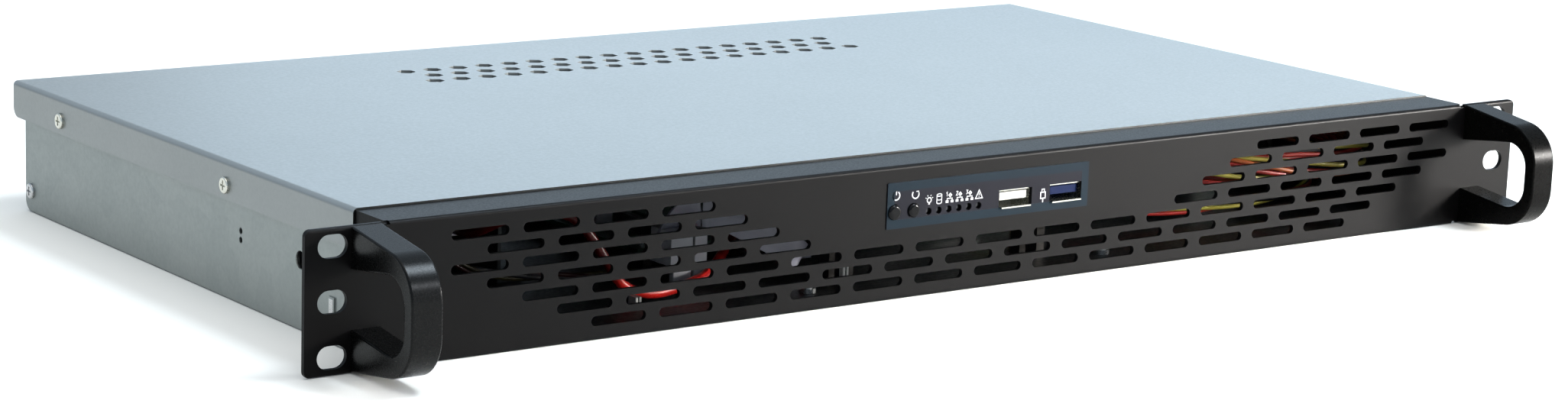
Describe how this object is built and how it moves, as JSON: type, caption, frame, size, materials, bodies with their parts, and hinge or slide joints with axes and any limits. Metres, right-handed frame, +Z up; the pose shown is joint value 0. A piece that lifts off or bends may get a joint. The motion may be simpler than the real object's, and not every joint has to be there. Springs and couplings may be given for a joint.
{
  "type": "rack firewall appliance",
  "caption": "Short-depth 1U rack network security appliance: steel case, slotted black panel with rack ears, pull handles, control panel, mains inlet and rear ports.",
  "frame": {"origin": "centre of the case's underside: mid-width, half way from the panel's face to the lid's rear edge, on the floor", "axes": "+X to the right seen from the front, +Y to the back, +Z up"},
  "size_m": [0.4826, 0.2805, 0.043],
  "materials": {
    "black_powder_coat": "fine matt powder coat",
    "panel_film": "satin printed overlay",
    "black_moulding": "satin moulded",
    "zinc_screw": "zinc plated",
    "galvanised_sheet": "galvanised, faint mottling",
    "cover_sheet": "galvanised, matt",
    "nickel_screw": "nickel plated",
    "gloss_button": "glossy black",
    "black_plastic": "matt moulded",
    "led_lens": "clear moulded",
    "nickel_shell": "nickel plated",
    "white_plastic": "natural moulded",
    "blue_plastic": "moulded",
    "green_board": "solder mask",
    "brass_post": "turned",
    "heat_sink": "extruded",
    "capacitor_can": "printed sleeve",
    "grey_ferrite": "ferrite",
    "brown_board": "phenolic board",
    "yellow_tape": "polyester tape",
    "black_rubber": "soft",
    "drive_case": "anodised",
    "red_lead": "flexible sheath",
    "supply_leads": "bundled insulated wires",
    "grey_lead": "flat ribbon",
    "black_lead": "flexible sheath"
  },
  "bodies": {
    "case": {"ac_inlet": "black_plastic", "backup_battery": "nickel_shell", "battery_holder": "black_plastic", "board_sockets": "white_plastic", "capacitors": "capacitor_can", "case_screws": "nickel_screw", "chassis_tray": "galvanised_sheet", "chipset_heatsink": "heat_sink", "chokes": "grey_ferrite", "control_label": "panel_film", "cover_screws": "nickel_screw", "cpu_heatsink": "heat_sink", "cpu_package": "green_board", "drive": "drive_case", "drive_bracket": "galvanised_sheet", "drive_power_lead": "supply_leads", "fan_frames": "black_plastic", "fan_leads": "black_lead", "fan_screws": "zinc_screw", "front_bezel": "black_powder_coat", "front_io_board": "green_board", "front_ribbon": "grey_lead", "handle_left": "black_moulding", "handle_right": "black_moulding", "handle_screws": "zinc_screw", "inlet_pins": "nickel_shell", "inside_screws": "nickel_screw", "io_shield": "galvanised_sheet", "lan_jacks": "nickel_shell", "lead_grommets": "black_rubber", "lead_plugs": "white_plastic", "memory_module": "green_board", "memory_socket": "black_plastic", "motherboard": "green_board", "power_loom": "supply_leads", "psu_board": "brown_board", "psu_case": "galvanised_sheet", "psu_heatsinks": "heat_sink", "psu_lid": "galvanised_sheet", "psu_transformer": "yellow_tape", "rear_panel": "galvanised_sheet", "rear_usb_stacks": "nickel_shell", "rocker_frame": "black_plastic", "sata_cable": "red_lead", "serial_port": "nickel_shell", "standoffs": "brass_post", "status_leds": "led_lens", "tact_switches": "black_plastic", "top_cover": "cover_sheet", "usb2_tongue": "white_plastic", "usb3_tongue": "blue_plastic", "usb_lead": "black_lead", "usb_shells": "nickel_shell", "vga_port": "blue_plastic"},
    "fan_rotor_left": {"fan_rotor_left": "black_plastic"},
    "fan_rotor_right": {"fan_rotor_right": "black_plastic"},
    "power_button": {"power_button": "gloss_button"},
    "power_rocker": {"power_rocker": "gloss_button"},
    "psu_fan_rotor": {"psu_fan_rotor": "black_plastic"},
    "reset_button": {"reset_button": "gloss_button"}
  },
  "joints": [
    {"name": "power_button_press", "type": "slide", "parent": "case", "child": "power_button", "axis": [0, 1, 0], "range_m": [0, 0.0008], "stiffness_N_per_m": 1500, "springref_m": -0.0003},
    {"name": "reset_button_press", "type": "slide", "parent": "case", "child": "reset_button", "axis": [0, 1, 0], "range_m": [0, 0.0008], "stiffness_N_per_m": 1500, "springref_m": -0.0003},
    {"name": "left_fan_spin", "type": "hinge", "parent": "case", "child": "fan_rotor_left", "pos_m": [-0.186, 0.1065, 0.0213], "axis": [0, 1, 0], "continuous": true},
    {"name": "right_fan_spin", "type": "hinge", "parent": "case", "child": "fan_rotor_right", "pos_m": [-0.138, 0.1065, 0.0213], "axis": [0, 1, 0], "continuous": true},
    {"name": "supply_fan_spin", "type": "hinge", "parent": "case", "child": "psu_fan_rotor", "pos_m": [0.151, 0.1065, 0.0213], "axis": [0, 1, 0], "continuous": true},
    {"name": "mains_rocker", "type": "hinge", "parent": "case", "child": "power_rocker", "pos_m": [0.1875, 0.1141, 0.033], "axis": [0, 0, 1], "range_deg": [-8, 8]}
  ]
}
